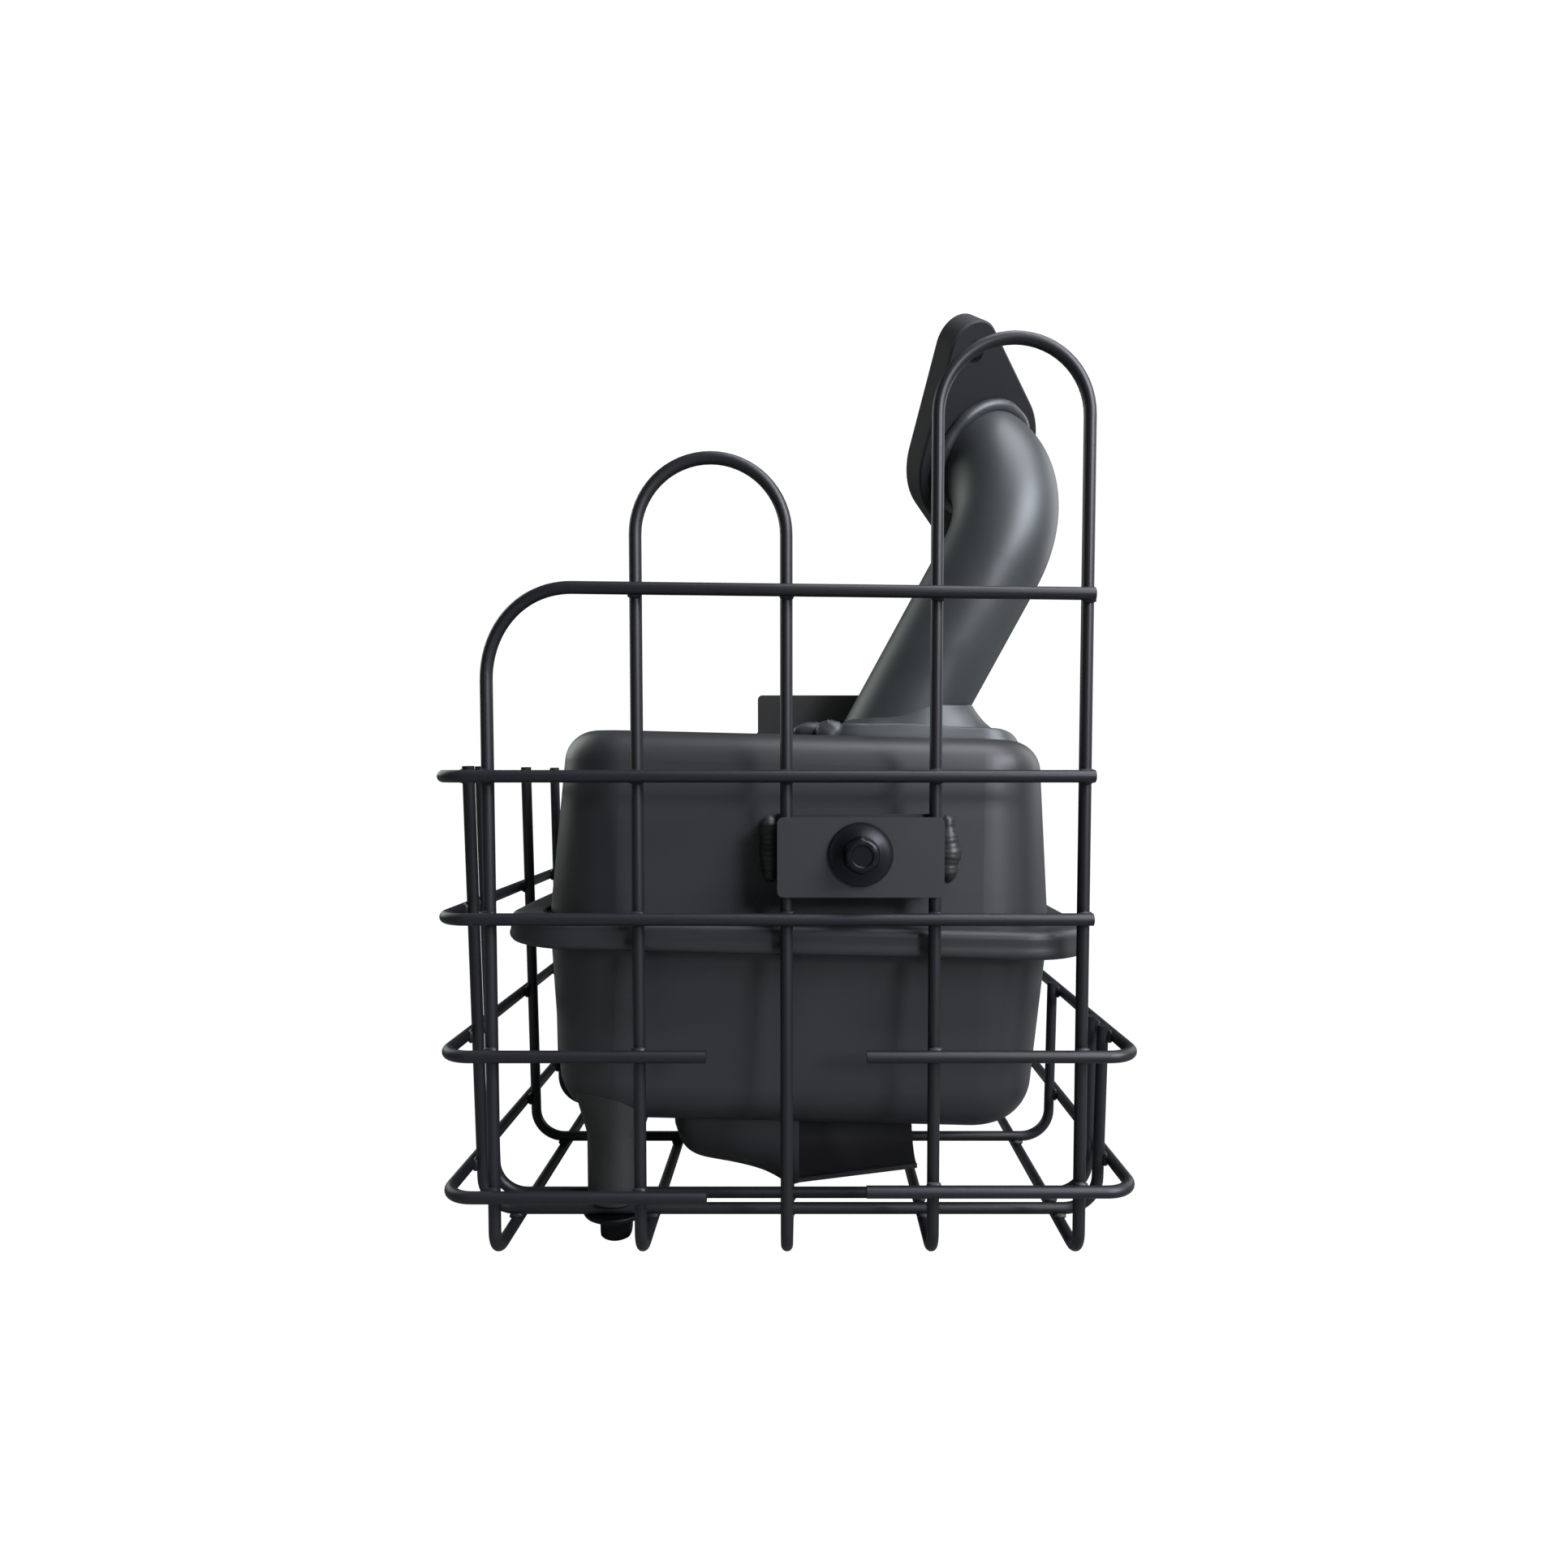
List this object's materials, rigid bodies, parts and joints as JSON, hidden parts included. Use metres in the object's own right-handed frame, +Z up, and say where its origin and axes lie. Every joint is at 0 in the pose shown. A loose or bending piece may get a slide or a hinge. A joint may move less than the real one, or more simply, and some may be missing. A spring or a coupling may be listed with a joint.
{
  "type": "exhaust muffler with wire guard",
  "caption": "Small-engine exhaust muffler: two-half pressed box, leaning pipe with a thick port flange, and a welded wire contact guard bolted over it.",
  "frame": {"origin": "middle of the bounding box at its lowest level, the underside of the leg bolt's head", "axes": "+X to the right along the guard's front, +Y back towards the engine side, +Z up along the guard's uprights"},
  "size_m": [0.2388, 0.156, 0.3543],
  "materials": {
    "guard_wire": "semi-gloss black powder coat",
    "guard_plate": "satin black powder coat",
    "shell_paint": "matte black high-temperature paint",
    "pipe_paint": "satin black high-temperature paint",
    "flange_paint": "painted cast plate, satin black",
    "bracket_paint": "satin black paint",
    "black_fastener": "blackened, glossy",
    "inner_steel": "bare heat-stained steel"
  },
  "bodies": {
    "root": {"corner_hoop": "guard_wire", "short_hoop": "guard_wire", "tall_hoop": "guard_wire", "u_wire_front": "guard_wire", "u_wire_second": "guard_wire", "u_wire_middle": "guard_wire", "u_wire_rear": "guard_wire", "rail_upper": "guard_wire", "rail_seam": "guard_wire", "rail_low_left": "guard_wire", "rail_low_right": "guard_wire", "rail_floor_left": "guard_wire", "rail_floor_right": "guard_wire", "guard_tab": "guard_plate", "upper_shell": "shell_paint", "lower_shell": "shell_paint", "seam_band": "shell_paint", "outlet_deflector": "shell_paint", "header_pipe": "pipe_paint", "pipe_base": "pipe_paint", "pipe_collar": "pipe_paint", "flange_weld": "pipe_paint", "exhaust_flange": "flange_paint", "front_bracket": "bracket_paint", "bracket_weld_left": "bracket_paint", "bracket_weld_right": "bracket_paint", "rear_bracket": "bracket_paint", "leg_tube": "bracket_paint", "guard_bolt": "black_fastener", "leg_bolt": "black_fastener", "baffle_plate": "inner_steel", "inlet_tube": "inner_steel", "outlet_tube": "inner_steel", "weld_nut": "inner_steel", "leg_bush": "inner_steel"}
  },
  "joints": []
}
